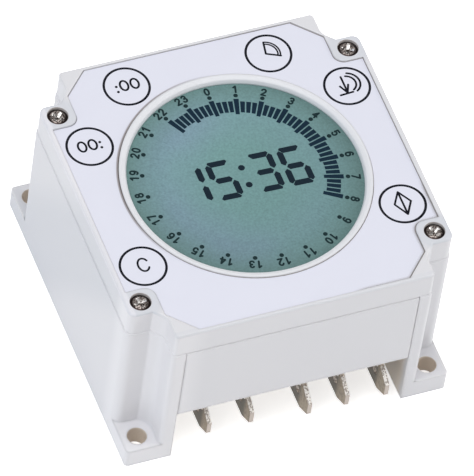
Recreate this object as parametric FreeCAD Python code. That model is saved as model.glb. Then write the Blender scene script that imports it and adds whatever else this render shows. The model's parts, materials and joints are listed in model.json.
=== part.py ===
import FreeCAD, Part
import math
import os

# Surface-mounted time switch module, in millimetres. The case is a square with four notched
# corners. Under each notch stands a foot with a fixing hole, and beside it a lug with a cover
# screw. Frame: origin at the centre of the four fixing holes, on the mounting plane; +Z out of
# the display, +Y towards the top of its digits, -Y towards the blade terminals.

# ---- case outline, seen from the front
DISPLAY = (0, -0.3)       # middle of the display and the keys
RING_RADIUS = 22.3        # raised lip round the display, outside
RING_WIDTH = 1.4
NOTCH_X = 6.1             # corner notch along X; along Y it starts past the cover screw
NOTCH_CUT = 1.9           # slanting wall across the notch's inner corner
NOTCH_BLEND = 2.5         # rounding from that wall into the end wall
LUG_ROUND = 1.6
SHOULDER_ROUND = 0.9
FOOT_ROUND = 0.8

# ---- heights above the mounting plane
FOOT_HEIGHT = 4.1
BAY_CEILING = 12.2        # underside of the front panel, over the wiring bay
COVER_HEIGHT = 5.5        # above the joint between base and cover

# ---- walls and joints
WALL = 1.8
FLOOR = 1.8
FLOOR_RECESS = 0.6        # the floor stands back from the mounting plane
COVER_SETBACK = 0.2       # the cover stands back from the base, all round
COVER_PLATE = 1.45        # cover plate under the foil
COVER_BEVEL = 0.25
BASE_BEVEL = 0.2          # the ledge under the cover, which shows as a light line
LIP_HEIGHT = 0.9          # the cover's lip reaches this far into the base
LIP_WIDTH = 0.8
FIT = 0.1                 # play at each face of parts that slide into each other
EASE = 0.3                # room round boards and other parts that only have to clear

# ---- fixing holes and cover screws
FOOT_HOLE_RADIUS = 1.75
FOOT_HOLE_INSET = 3.0
SCREW_INSET_X = 3.0       # cover screw from the side of the case
SCREW_INSET_Y = 2.75      # cover screw from the end of its lug
BOSS_SIDE = 2.4           # screw boss from the screw to its free faces
SCREW_RADIUS = 1.1
SCREW_LENGTH = 11.0
HEAD_RADIUS = 1.8
HEAD_HEIGHT = 1.2
HEAD_SINK = 0.1           # head below the cover's face
PILOT_SPARE = 0.8         # pilot hole beyond the screw's tip

# ---- wiring bay and front panel
BAY_DEPTH = 9.6
BAY_WALL = 1.5
POST_WIDTH = 2.5          # front post from the bay to the notch
POST_DEPTH = 3.1
GROOVE_SETBACK = 0.7      # post material in front of the panel's groove
GROOVE_WIDTH = 1.1
GROOVE_DEPTH = 1.0
PANEL_THICKNESS = 1.6
PANEL_SETBACK = 0.05
PANEL_CHAMFER = 0.2
SHELF = 1.5               # roof of the bay, moulded on the panel

# ---- blade terminals, 6.3 x 0.8 quick-connect
TAB_WIDTH = 6.3
TAB_THICKNESS = 0.8
TAB_BOTTOM = 2.5
TAB_TAPER = 1.8           # tip chamfer across the blade
TAB_TAPER_LENGTH = 3.0
TAB_HOLE_RADIUS = 0.85
TAB_HOLE_BACK = 4.8       # locking hole behind the tip
TABS_FROM_LEFT = (6.6, 14.6)         # blades from the left post
TABS_FROM_RIGHT = (18.4, 11.3, 3.8)  # blades from the right post
LEFT_REACH = 0.0          # tips past the front of the case
RIGHT_REACH = 1.2
TAB_ROOT = 6.0            # blade behind the bay's front wall face
SLOT_EASE = 0.2
PIN_WIDTH = 1.2
PIN_PROUD = 1.2

# ---- foil and keys
FOIL = 0.25
FOIL_SINK = 0.25          # foil face below the cover's rim
FOIL_GAP = 0.12
FOIL_SIDE = 1.25          # foil edge from the side of the case
FOIL_END = 1.0
FOIL_SHOULDER = 0.15      # foil edge inside the notched shoulder
FOIL_WEB = 0.35           # foil between the lower keys and the lugs
FOIL_LUG = 2.75           # foil edge from the cover screw, along Y
FOIL_LUG_ROUND = 2.0
FOIL_CHAMFER = 4.7
KEY_RADIUS = 4.0
KEY_CLEAR = 1.4           # keys from the lip round the display
KEY_SIDE = 4.9            # side keys from the foil's side edge
KEY_SIDE_ANGLE = 29.3     # side keys, seen from the middle of the display
KEY_END_ANGLE = 61.2      # end keys
KEY_GAP = 0.1
KEY_TRAVEL = 0.2
WELL_EASE = 0.15
PLUNGER_HEAD = 0.2
PLUNGER_HEAD_SIDE = 4.8
PLUNGER_SIDE = 3.2

# ---- display
LCD_SINK = 1.2            # display face below the rim of the lip
LCD_MARGIN = 0.8          # glass beyond the lip's inside
LCD_EASE = 0.2
GLASS = 0.7
FILM = 0.2
LIP_CROWN = 0.9           # slope at the lip's inner edge
HOLDER_MARGIN = 1.0       # glass beyond its holder
HOLDER_WALL = 0.8
STRIP_WIDTH = 2.0
STRIP_END = 2.5           # contact strip short of the holder's ends

# ---- boards and what they carry
BOARD = 1.6
BOARD_SINK = 1.2          # main board's face below the parting line
POWER_BOARD_OVER_TABS = 2.2
PARTS_BELOW_MAIN = 1.9    # tallest part on the power board below the main board
PARTS_FROM_TABS = 1.75    # parts behind the blades' solder pins
RIB_DEPTH = 1.5
RIB_WIDTH = 2.0
RIB_SIDE_Y = 8.0
RIB_END_X = 12.0
PILLAR_SIDE = 3.0
SWITCH_SIDE = 6.0
SWITCH_HEIGHT = 3.5
SWITCH_CORNER = 0.5
STEM_SIDE = 3.0
STEM_HEIGHT = 1.0
STEM_IN_BODY = 0.5
CHIP_SIDE = 14.0
CHIP_HEIGHT = 1.4
CHIP_CORNER = 0.8
CRYSTAL_RADIUS = 1.5
CRYSTAL_LENGTH = 8.0
CRYSTAL_Y = 12.0
CELL_RADIUS = 6.25
CELL_HEIGHT = 2.0
CELL_FROM_WALLS = 14.2    # its middle from the side and rear walls
LINK_PINS = 5
LINK_SPACING = 2.54
LINK_PIN = 0.64
LINK_BLOCK = 2.5
LINK_FROM_WALL = 5.7
RELAY_SIZE = (19.0, 15.5, 12.0)
RELAY_X = -11.0
RELAY_BEVEL = 0.8
FILM_CAP_SIZE = (6.5, 17.5, 12.0)
FILM_CAP_X = 20.0
FILM_CAP_BEVEL = 0.8
CAN_X = 8.0
CAN_RADII = (5.0, 4.0)    # front can, rear can
CAN_HEIGHTS = (12.5, 11.0)
CAN_GAP = 3.5
VARISTOR_RADIUS = 4.5
VARISTOR_THICKNESS = 3.5
VARISTOR_FROM_SIDE = 10.2
VARISTOR_FROM_REAR = 14.2
LEAD_SIDE = 0.7
LEAD_BELOW = 1.2
LEAD_PITCH = 5.0

# ---- places that follow from the sizes above
KEY_DISTANCE = RING_RADIUS + KEY_CLEAR + KEY_RADIUS
KEY_X = KEY_DISTANCE * math.cos(math.radians(KEY_SIDE_ANGLE))
KEY_Y = KEY_DISTANCE * math.sin(math.radians(KEY_SIDE_ANGLE))
KEY_END_X = KEY_DISTANCE * math.cos(math.radians(KEY_END_ANGLE))
KEY_END_Y = KEY_DISTANCE * math.sin(math.radians(KEY_END_ANGLE))
KEYS = {
    "hours": (DISPLAY[0] - KEY_X, DISPLAY[1] + KEY_Y),
    "minutes": (DISPLAY[0] - KEY_END_X, DISPLAY[1] + KEY_END_Y),
    "sector": (DISPLAY[0] + KEY_END_X, DISPLAY[1] + KEY_END_Y),
    "arrow": (DISPLAY[0] + KEY_X, DISPLAY[1] + KEY_Y),
    "diamond": (DISPLAY[0] + KEY_X, DISPLAY[1] - KEY_Y),
    "clear": (DISPLAY[0] - KEY_X, DISPLAY[1] - KEY_Y),
}
CASE_HALF = round(KEY_X + KEY_SIDE + FOIL_SIDE, 1)
LUG_Y = KEY_Y - DISPLAY[1] + KEY_RADIUS + KEY_GAP + FOIL_WEB
SCREW_X = CASE_HALF - SCREW_INSET_X
SCREW_Y = LUG_Y + FOIL_LUG
SHOULDER_X = CASE_HALF - NOTCH_X
SHOULDER_Y = SCREW_Y + SCREW_INSET_Y
FOOT_HOLE = CASE_HALF - FOOT_HOLE_INSET
FRONT = -CASE_HALF
INNER_HALF = CASE_HALF - WALL
INNER_FRONT = FRONT + WALL
FLOOR_TOP = FLOOR_RECESS + FLOOR
BAY_HALF = SHOULDER_X - POST_WIDTH
BAY_BACK = FRONT + BAY_DEPTH
BAY_TOP = BAY_CEILING + SHELF
POST_BACK = FRONT + POST_DEPTH
TAB_TOP = TAB_BOTTOM + TAB_WIDTH
TAB_BACK = BAY_BACK + TAB_ROOT
TABS = [(-BAY_HALF + x, LEFT_REACH) for x in TABS_FROM_LEFT]
TABS += [(BAY_HALF - x, RIGHT_REACH) for x in TABS_FROM_RIGHT]
POWER_LOW = TAB_TOP + POWER_BOARD_OVER_TABS
POWER_TOP = POWER_LOW + BOARD
POWER_FRONT = BAY_BACK + BAY_WALL + EASE
PARTS_FRONT = TAB_BACK + PARTS_FROM_TABS
MAIN_LOW = POWER_TOP + max(RELAY_SIZE[2], FILM_CAP_SIZE[2], *CAN_HEIGHTS) + PARTS_BELOW_MAIN
MAIN_TOP = MAIN_LOW + BOARD
STEM_TOP = MAIN_TOP + SWITCH_HEIGHT + STEM_HEIGHT
PARTING = MAIN_TOP + BOARD_SINK
TOP = PARTING + COVER_HEIGHT
HEAD_SEAT = TOP - HEAD_SINK - HEAD_HEIGHT
FOIL_TOP = TOP - FOIL_SINK
FOIL_LOW = FOIL_TOP - FOIL
PLATE_LOW = FOIL_LOW - COVER_PLATE
WELL_FLOOR = FOIL_LOW - PLUNGER_HEAD - KEY_TRAVEL - KEY_GAP
WINDOW_RADIUS = RING_RADIUS - RING_WIDTH
LCD_HALF = WINDOW_RADIUS + LCD_MARGIN
LCD_TOP = TOP - LCD_SINK
GLASS_TOP = LCD_TOP - FILM
GLASS_JOINT = GLASS_TOP - GLASS
GLASS_LOW = GLASS_JOINT - GLASS
LCD_LOW = GLASS_LOW - FILM
LINK_Y = INNER_HALF - LINK_FROM_WALL
CELL_PLACE = (CELL_FROM_WALLS - INNER_HALF, INNER_HALF - CELL_FROM_WALLS)
VARISTOR_PLACE = (VARISTOR_FROM_SIDE - INNER_HALF, INNER_HALF - VARISTOR_FROM_REAR)
RELAY_PLACE = (RELAY_X, PARTS_FRONT + RELAY_SIZE[1] / 2)
FILM_CAP_PLACE = (FILM_CAP_X, PARTS_FRONT + FILM_CAP_SIZE[1] / 2)
FRONT_CAN = (CAN_X, PARTS_FRONT + CAN_RADII[0])
REAR_CAN = (CAN_X, FRONT_CAN[1] + CAN_RADII[0] + CAN_GAP + CAN_RADII[1])
SIGNS = ((1, 1), (-1, 1), (-1, -1), (1, -1))
SCREWS = dict(zip(("rear_right", "rear_left", "front_left", "front_right"), SIGNS))


# ---- shapes used throughout
def box(x, y, z):
    """Box from three (low, high) pairs."""
    size = [high - low for low, high in (x, y, z)]
    return Part.makeBox(*size, FreeCAD.Vector(x[0], y[0], z[0]))


def block(centre, size, low):
    """Box of size (x, y, z) centred on a place in plan, standing on the height low."""
    x, y = ((c - s / 2, c + s / 2) for c, s in zip(centre, size))
    return box(x, y, (low, low + size[2]))


def rod(place, radius, low, high):
    """Upright cylinder."""
    return Part.makeCylinder(radius, high - low, FreeCAD.Vector(place[0], place[1], low))


def octagon(place, radius, low, high):
    """Upright eight-sided bar, radius from its middle to its flats: plain form of hidden round parts."""
    x, y = place
    reach = radius / math.cos(math.pi / 8)
    turns = [(i + 0.5) * math.pi / 4 for i in range(8)]
    corners = [(x + reach * math.cos(turn), y + reach * math.sin(turn), 0) for turn in turns]
    return prism(outline(corners), low, high)


def outline(corners):
    """Closed wire through (x, y, radius) corners, each rounded by an arc of its radius."""
    points = [FreeCAD.Vector(x, y, 0) for x, y, radius in corners]
    bends = []
    for i, (x, y, radius) in enumerate(corners):
        here = points[i]
        back = (points[i - 1] - here).normalize()
        ahead = (points[(i + 1) % len(points)] - here).normalize()
        half_angle = back.getAngle(ahead) / 2
        reach = radius / math.tan(half_angle)
        depth = radius / math.sin(half_angle) - radius
        middle = here + (back + ahead).normalize() * depth
        bends.append((here + back * reach, middle, here + ahead * reach, radius))
    edges = []
    for i, (start, middle, end, radius) in enumerate(bends):
        edges.append(Part.makeLine(bends[i - 1][2], start))
        if radius > 0:
            edges.append(Part.Arc(start, middle, end).toShape())
    return Part.Wire(edges)


def prism(wire, low, high):
    """Upright solid of a flat outline."""
    face = Part.Face(wire)
    face.translate(FreeCAD.Vector(0, 0, low))
    return face.extrude(FreeCAD.Vector(0, 0, high - low))


def four_fold(corners):
    """Corners of the first quadrant, mirrored into all four, in turning order."""
    ring = []
    for sx, sy in SIGNS:
        quarter = corners if sx * sy > 0 else corners[::-1]
        ring += [(sx * x, sy * y, radius) for x, y, radius in quarter]
    return outline(ring)


def case_plan(inset):
    """Notched square of the case, moved inwards by inset, with its rounded outer corners."""
    half = CASE_HALF - inset
    x, y = SHOULDER_X - inset, SHOULDER_Y - inset
    cut = NOTCH_CUT + inset * (2 - math.sqrt(2))
    return four_fold([
        (half, y, max(LUG_ROUND - inset, 0)),
        (x + cut, y, 0),
        (x, y + cut, NOTCH_BLEND + inset),
        (x, half, max(SHOULDER_ROUND - inset, 0)),
    ])


def inner_plan(inset):
    """The same notched square inside the walls, where its corners are sharp."""
    half = CASE_HALF - inset
    x, y = SHOULDER_X - inset, SHOULDER_Y - inset
    return four_fold([(half, y, 0), (x, y, 0), (x, half, 0)])


def foil_plan(grow):
    """Outline of the foil, moved outwards by grow: it steps round the screws and has cut corners."""
    x, y = CASE_HALF - FOIL_SIDE + grow, CASE_HALF - FOIL_END + grow
    shoulder = SHOULDER_X - FOIL_SHOULDER + grow
    lug = LUG_Y + grow
    cut = FOIL_CHAMFER - grow * (2 - math.sqrt(2))
    return four_fold([
        (x, lug, 0),
        (shoulder, lug, FOIL_LUG_ROUND),
        (shoulder, y - cut, 0),
        (shoulder - cut, y, 0),
    ])


def case_block(inset, low, high, bevel):
    """Solid of the case's plan between two heights, bevelled round its top."""
    body = prism(case_plan(inset), low, high)
    return body.makeChamfer(bevel, edges_at(body, high))


def edges_at(shape, height):
    """Edges of a shape that lie wholly at one height."""
    near = FIT / 10
    return [e for e in shape.Edges
            if abs(e.BoundBox.ZMin - height) < near and abs(e.BoundBox.ZMax - height) < near]


def mirrored(make):
    """The solid from make(1) and its mirror from make(-1), for the right and the left side."""
    return [make(side) for side in (1, -1)]


def pins(places, side, low, high):
    """Square pins at several places in plan, or the holes for them."""
    return [block(place, (side, side, high - low), low) for place in places]


def screw_boss(sx, sy, low, high, ease=0):
    """Block round a cover screw, grown into the two walls beside it. With ease it is the room round it."""
    side = BOSS_SIDE + ease
    x = sorted((sx * (SCREW_X - side), sx * INNER_HALF))
    y = sorted((sy * (SCREW_Y - side), sy * (SHOULDER_Y - WALL)))
    return box(x, y, (low, high))


def fused(first, others):
    return first.fuse(others).removeSplitter()


# ---- base
def foot(sx, sy):
    """One corner foot: it fills the notch down at the mounting plane, flush with the flat walls."""
    inner_x, inner_y = SHOULDER_X - SHOULDER_ROUND, SHOULDER_Y - LUG_ROUND
    corners = [(inner_x, inner_y, 0), (CASE_HALF, inner_y, 0), (CASE_HALF, CASE_HALF, FOOT_ROUND),
               (inner_x, CASE_HALF, 0)]
    return prism(outline([(sx * x, sy * y, radius) for x, y, radius in corners]), 0, FOOT_HEIGHT)


def post(side):
    """Inner half of a front post, behind the panel's groove. It ends under the cover's lip."""
    x = sorted((side * BAY_HALF, side * (SHOULDER_X - WALL / 2)))
    return box(x, (INNER_FRONT, POST_BACK), (0, PARTING - LIP_HEIGHT - LIP_WIDTH))


def groove(side):
    """Upright groove in a front post for the edge of the front panel."""
    x = sorted((side * (BAY_HALF - FIT), side * (BAY_HALF + GROOVE_DEPTH)))
    front = FRONT + GROOVE_SETBACK
    return box(x, (front, front + GROOVE_WIDTH), (BAY_CEILING, PARTING + FIT))


def rib_places():
    """Plan boxes of the ribs on the side and rear walls that carry the main board."""
    face = INNER_HALF - RIB_DEPTH
    half = RIB_WIDTH / 2
    sides = [(sorted((side * face, side * INNER_HALF)), (y - half, y + half))
             for side in (1, -1) for y in (RIB_SIDE_Y, -RIB_SIDE_Y)]
    rear = [((x - half, x + half), (face, INNER_HALF)) for x in (RIB_END_X, -RIB_END_X)]
    return sides + rear


def pillar_places():
    """Places of the four pillars under the power board."""
    x = SHOULDER_X - WALL - PILLAR_SIDE / 2 - EASE
    rear = INNER_HALF - RIB_DEPTH - PILLAR_SIDE / 2 - EASE
    front = POWER_FRONT + PILLAR_SIDE / 2 + EASE
    return [(x, rear), (-x, rear), (x, front), (-x, front)]


def tab_slot(x):
    """Slot in the bay's rear wall, open at the top, for one blade."""
    half = TAB_THICKNESS / 2 + SLOT_EASE
    return box((x - half, x + half), (BAY_BACK - EASE, BAY_BACK + BAY_WALL + EASE),
               (TAB_BOTTOM - SLOT_EASE, BAY_TOP + EASE))


def base_housing():
    body = case_block(0, 0, PARTING, BASE_BEVEL).cut([
        prism(inner_plan(WALL), FLOOR_TOP, PARTING + FIT),
        prism(inner_plan(WALL), -FIT, FLOOR_RECESS),
    ])
    bay_side = BAY_HALF + BAY_WALL
    added = [foot(sx, sy) for sx, sy in SIGNS]
    added += [screw_boss(sx, sy, FLOOR_RECESS, PARTING) for sx, sy in SIGNS]
    added += [box((-bay_side, bay_side), (INNER_FRONT, BAY_BACK + BAY_WALL), (0, BAY_TOP))]
    added += mirrored(post)
    added += [box(x, y, (FLOOR_RECESS, MAIN_LOW)) for x, y in rib_places()]
    added += pins(pillar_places(), PILLAR_SIDE, FLOOR_RECESS, POWER_LOW)
    body = fused(body, added)
    beyond = WALL
    removed = [box((-BAY_HALF, BAY_HALF), (FRONT - beyond, INNER_FRONT), (-beyond, PARTING + beyond))]
    removed += [box((-BAY_HALF, BAY_HALF), (FRONT - beyond, BAY_BACK), (-beyond, BAY_TOP + FIT))]
    removed += mirrored(groove)
    removed += [tab_slot(x) for x, reach in TABS]
    pilot_end = HEAD_SEAT - SCREW_LENGTH - PILOT_SPARE
    for sx, sy in SIGNS:
        screw, hole = (sx * SCREW_X, sy * SCREW_Y), (sx * FOOT_HOLE, sy * FOOT_HOLE)
        removed.append(octagon(screw, SCREW_RADIUS + FIT / 2, pilot_end, PARTING + FIT))
        removed.append(rod(hole, FOOT_HOLE_RADIUS, -beyond, FOOT_HEIGHT + FIT))
    return body.cut(removed).removeSplitter()


def front_panel():
    """Front plate with its edges in the posts' grooves, the roof of the bay and a finger that closes
    the top of each blade's slot."""
    face = FRONT + PANEL_SETBACK
    back = face + PANEL_THICKNESS
    half = BAY_HALF - FIT
    high = PARTING - FIT
    plate = box((-half, half), (face, back), (BAY_CEILING, high))
    rim = [e for e in edges_at(plate, high) if e.BoundBox.YMax < face + FIT]
    plate = plate.makeChamfer(PANEL_CHAMFER, rim)
    tongue_half = BAY_HALF + GROOVE_DEPTH - FIT
    tongue_front = FRONT + GROOVE_SETBACK + FIT
    tongue_back = FRONT + GROOVE_SETBACK + GROOVE_WIDTH - FIT
    added = [
        box((-tongue_half, tongue_half), (tongue_front, tongue_back), (BAY_CEILING, high)),
        box((-half, half), (back, BAY_BACK - FIT), (BAY_CEILING, BAY_TOP)),
    ]
    finger = TAB_THICKNESS / 2 + SLOT_EASE - FIT
    for x, reach in TABS:
        added.append(box((x - finger, x + finger), (BAY_BACK - FIT, BAY_BACK + BAY_WALL),
                         (TAB_TOP + SLOT_EASE, BAY_TOP)))
    return fused(plate, added)


# ---- cover, screws, foil
def cover_lip():
    """Lip under the cover's wall that centres it in the base, left out at the screws and posts."""
    inset = WALL + FIT
    ring = prism(inner_plan(inset), PARTING - LIP_HEIGHT, PARTING + LIP_HEIGHT).cut(
        prism(inner_plan(inset + LIP_WIDTH), PARTING - LIP_HEIGHT, PARTING + LIP_HEIGHT))
    return ring.cut([screw_boss(sx, sy, PARTING - LIP_HEIGHT, PARTING, EASE) for sx, sy in SIGNS])


def display_lip_slope():
    """What is taken off the lip round the display: a slope at its inner edge, steep at the bottom
    and shallow at the top."""
    turn = LIP_CROWN * (1 - math.sin(math.pi / 4))
    profile = [(-FIT, -LIP_CROWN), (0, -LIP_CROWN), (turn, -turn), (LIP_CROWN, 0), (LIP_CROWN, FIT),
               (-FIT, FIT)]
    points = [FreeCAD.Vector(DISPLAY[0] + WINDOW_RADIUS + x, DISPLAY[1], TOP + z) for x, z in profile]
    face = Part.Face(Part.makePolygon(points + points[:1]))
    return face.revolve(FreeCAD.Vector(*DISPLAY, 0), FreeCAD.Vector(0, 0, 1), 360)


def front_cover():
    body = case_block(COVER_SETBACK, PARTING, TOP, COVER_BEVEL)
    body = body.cut(prism(inner_plan(WALL + FIT), PARTING, PLATE_LOW))
    bosses = [screw_boss(sx, sy, PARTING, PLATE_LOW) for sx, sy in SIGNS]
    body = fused(body, [cover_lip()] + bosses)
    recess = prism(foil_plan(FOIL_GAP), FOIL_LOW, TOP + FIT).cut(
        rod(DISPLAY, RING_RADIUS, FOIL_LOW, TOP + FIT))
    removed = [
        recess,
        rod(DISPLAY, WINDOW_RADIUS, PLATE_LOW - FIT, TOP + FIT),
        display_lip_slope(),
        display_square(LCD_HALF + LCD_EASE, PLATE_LOW - FIT, LCD_TOP),
    ]
    for place in KEYS.values():
        removed.append(octagon(place, KEY_RADIUS + WELL_EASE, WELL_FLOOR, FOIL_LOW + FIT))
    removed += pins(KEYS.values(), PLUNGER_SIDE + 2 * WELL_EASE, PLATE_LOW - FIT, WELL_FLOOR + FIT)
    for sx, sy in SIGNS:
        place = (sx * SCREW_X, sy * SCREW_Y)
        removed.append(octagon(place, SCREW_RADIUS + FIT, PARTING - FIT, HEAD_SEAT + FIT))
        removed.append(rod(place, HEAD_RADIUS + FIT, HEAD_SEAT, TOP + FIT))
    return body.cut(removed).removeSplitter()


def cover_screw(sx, sy):
    """Pan head on a plain shank."""
    place = (sx * SCREW_X, sy * SCREW_Y)
    head = rod(place, HEAD_RADIUS, HEAD_SEAT, HEAD_SEAT + HEAD_HEIGHT)
    return fused(head, [octagon(place, SCREW_RADIUS, HEAD_SEAT - SCREW_LENGTH, HEAD_SEAT)])


def front_foil():
    holes = [rod(place, KEY_RADIUS + KEY_GAP, FOIL_LOW, FOIL_TOP) for place in KEYS.values()]
    holes.append(rod(DISPLAY, RING_RADIUS + FOIL_GAP, FOIL_LOW, FOIL_TOP))
    return prism(foil_plan(0), FOIL_LOW, FOIL_TOP).cut(holes)


# ---- keys
def key_pad(place):
    return rod(place, KEY_RADIUS, FOIL_LOW, FOIL_TOP)


def key_plunger(place):
    """Plunger between the foil and the switch, with a square plate under the foil."""
    head_low = FOIL_LOW - PLUNGER_HEAD
    head = block(place, (PLUNGER_HEAD_SIDE, PLUNGER_HEAD_SIDE, PLUNGER_HEAD), head_low)
    return fused(head, pins([place], PLUNGER_SIDE, STEM_TOP, head_low))


def switch_stem(place):
    return pins([place], STEM_SIDE, STEM_TOP - STEM_HEIGHT - STEM_IN_BODY, STEM_TOP)[0]


def switch_body(place):
    """Square tactile switch with a well for its stem."""
    high = MAIN_TOP + SWITCH_HEIGHT
    body = block(place, (SWITCH_SIDE, SWITCH_SIDE, SWITCH_HEIGHT), MAIN_TOP)
    upright = [e for e in body.Edges if e.BoundBox.ZLength > SWITCH_HEIGHT / 2]
    body = body.makeChamfer(SWITCH_CORNER, upright)
    well_depth = STEM_IN_BODY + KEY_TRAVEL + EASE
    return body.cut(pins([place], STEM_SIDE + 2 * FIT, high - well_depth, high + FIT))


# ---- display
def display_square(half, low, high):
    """Square plate centred on the display, from half its side."""
    return block(DISPLAY, (2 * half, 2 * half, high - low), low)


def lcd_layer(low, high):
    return display_square(LCD_HALF, low, high)


def lcd_holder():
    """Frame between the main board and the glass, with a chamber on each side for a contact strip."""
    inner = LCD_HALF - HOLDER_MARGIN - HOLDER_WALL
    frame = display_square(LCD_HALF - HOLDER_MARGIN, MAIN_TOP, LCD_LOW).cut(
        display_square(inner, MAIN_TOP, LCD_LOW))
    wall = inner - STRIP_WIDTH - 2 * FIT - HOLDER_WALL / 2
    size = (HOLDER_WALL, 2 * inner, LCD_LOW - MAIN_TOP)
    return fused(frame, [block((DISPLAY[0] + side * wall, DISPLAY[1]), size, MAIN_TOP) for side in (1, -1)])


def contact_strip(side):
    inner = LCD_HALF - HOLDER_MARGIN - HOLDER_WALL
    middle = DISPLAY[0] + side * (inner - FIT - STRIP_WIDTH / 2)
    size = (STRIP_WIDTH, 2 * (inner - STRIP_END), LCD_LOW - MAIN_TOP)
    return block((middle, DISPLAY[1]), size, MAIN_TOP)


# ---- boards
def board(low, front):
    """Circuit board that fills the base behind the line front, clear of the screw bosses."""
    wide = CASE_HALF
    plate = prism(inner_plan(WALL + EASE), low, low + BOARD)
    cuts = [box((-wide, wide), (-wide, front), (low, low + BOARD))]
    cuts += [screw_boss(sx, sy, low, low + BOARD, EASE) for sx, sy in SIGNS]
    return plate.cut(cuts)


def main_board():
    plate = board(MAIN_LOW, POST_BACK + EASE)
    return plate.cut(pins(link_places(), LINK_PIN + 2 * FIT, MAIN_LOW, MAIN_TOP))


def power_board():
    """Board that carries the terminals. It is cut back where the main board's ribs pass."""
    plate = board(POWER_LOW, POWER_FRONT)
    cuts = [box((x[0] - EASE, x[1] + EASE), (y[0] - EASE, y[1] + EASE), (POWER_LOW, POWER_TOP))
            for x, y in rib_places()]
    for x, reach in TABS:
        for y in tab_pins():
            size = (TAB_THICKNESS + 2 * FIT, PIN_WIDTH + 2 * FIT, BOARD)
            cuts.append(block((x, y), size, POWER_LOW))
    cuts += pins(link_places(), LINK_PIN + 2 * FIT, POWER_LOW, POWER_TOP)
    cuts += pins(lead_places(), LEAD_SIDE + 2 * FIT, POWER_LOW, POWER_TOP)
    return plate.cut(cuts)


def tab_pins():
    """Centres along Y of a blade's two solder pins."""
    front = POWER_FRONT + EASE + PIN_WIDTH / 2
    return front, TAB_BACK - PIN_WIDTH / 2


def terminal_tab(x, reach):
    """Flat stamped blade: tapered tip with a locking hole, and a riser with two solder pins."""
    tip = FRONT - reach
    full = tip + TAB_TAPER_LENGTH
    profile = [(TAB_BACK, TAB_BOTTOM), (TAB_BACK, TAB_TOP), (full, TAB_TOP), (tip, TAB_TOP - TAB_TAPER),
               (tip, TAB_BOTTOM + TAB_TAPER), (full, TAB_BOTTOM), (TAB_BACK, TAB_BOTTOM)]
    left = x - TAB_THICKNESS / 2
    right = x + TAB_THICKNESS / 2
    wire = Part.makePolygon([FreeCAD.Vector(left, y, z) for y, z in profile])
    blade = Part.Face(wire).extrude(FreeCAD.Vector(TAB_THICKNESS, 0, 0))
    hole_place = FreeCAD.Vector(left - FIT, tip + TAB_HOLE_BACK, TAB_BOTTOM + TAB_WIDTH / 2)
    hole = Part.makeCylinder(TAB_HOLE_RADIUS, TAB_THICKNESS + 2 * FIT, hole_place, FreeCAD.Vector(1, 0, 0))
    added = [box((left, right), (POWER_FRONT + EASE, TAB_BACK), (TAB_TOP, POWER_LOW))]
    added += [box((left, right), (y - PIN_WIDTH / 2, y + PIN_WIDTH / 2), (POWER_LOW, POWER_TOP + PIN_PROUD))
              for y in tab_pins()]
    return fused(blade.cut(hole), added)


def link_places():
    """Places of the pins between the two boards."""
    middle = (LINK_PINS - 1) / 2
    return [((i - middle) * LINK_SPACING, LINK_Y) for i in range(LINK_PINS)]


def board_link():
    """Pin strip between the boards: a block at each board and square pins through both."""
    length = LINK_PINS * LINK_SPACING
    lower = block((0, LINK_Y), (length, LINK_BLOCK, LINK_BLOCK), POWER_TOP)
    upper = block((0, LINK_Y), (length, LINK_BLOCK, LINK_BLOCK), MAIN_LOW - LINK_BLOCK)
    return fused(lower, [upper] + pins(link_places(), LINK_PIN, POWER_LOW - LINK_PIN, MAIN_TOP + LINK_PIN))


def part_leads(place, along):
    """Two lead places beside a component's centre, along X or Y."""
    step = LEAD_PITCH / 2
    offsets = ((step, 0), (-step, 0)) if along == "x" else ((0, step), (0, -step))
    return [(place[0] + dx, place[1] + dy) for dx, dy in offsets]


def lead_places():
    """All lead places on the power board."""
    places = part_leads(RELAY_PLACE, "x") + part_leads(VARISTOR_PLACE, "x")
    places += part_leads(FILM_CAP_PLACE, "y")
    for can in (FRONT_CAN, REAR_CAN):
        places += part_leads(can, "y")
    return places


def on_board(body, place, along):
    """A component's body with its two leads through the power board."""
    return fused(body, pins(part_leads(place, along), LEAD_SIDE, POWER_LOW - LEAD_BELOW, POWER_TOP))


def cased(place, size, bevel, along):
    """Box-shaped component with bevelled upper and upright edges, with its leads."""
    body = block(place, size, POWER_TOP)
    bevelled = [e for e in body.Edges if e.BoundBox.ZMax > POWER_TOP + bevel]
    return on_board(body.makeChamfer(bevel, bevelled), place, along)


def radial_capacitor(place, height, radius):
    """Upright can."""
    return on_board(rod(place, radius, POWER_TOP, POWER_TOP + height), place, "y")


def varistor():
    """Disc on edge, standing on the board on its two leads."""
    x, y = VARISTOR_PLACE
    centre = FreeCAD.Vector(x, y - VARISTOR_THICKNESS / 2, POWER_TOP + VARISTOR_RADIUS)
    disc = Part.makeCylinder(VARISTOR_RADIUS, VARISTOR_THICKNESS, centre, FreeCAD.Vector(0, 1, 0))
    places = part_leads(VARISTOR_PLACE, "x")
    return fused(disc, pins(places, LEAD_SIDE, POWER_LOW - LEAD_BELOW, centre.z))


def microcontroller():
    """Flat square package on the main board, under the display."""
    chip = display_square(CHIP_SIDE / 2, MAIN_TOP, MAIN_TOP + CHIP_HEIGHT)
    return chip.makeChamfer(CHIP_CORNER, [e for e in chip.Edges if e.BoundBox.ZLength > CHIP_HEIGHT / 2])


def quartz_crystal():
    """Small can lying on the main board."""
    start = FreeCAD.Vector(-CRYSTAL_LENGTH / 2, CRYSTAL_Y, MAIN_TOP + CRYSTAL_RADIUS)
    return Part.makeCylinder(CRYSTAL_RADIUS, CRYSTAL_LENGTH, start, FreeCAD.Vector(1, 0, 0))


def backup_cell():
    """Coin cell against the underside of the main board."""
    return rod(CELL_PLACE, CELL_RADIUS, MAIN_LOW - CELL_HEIGHT, MAIN_LOW)


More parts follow.
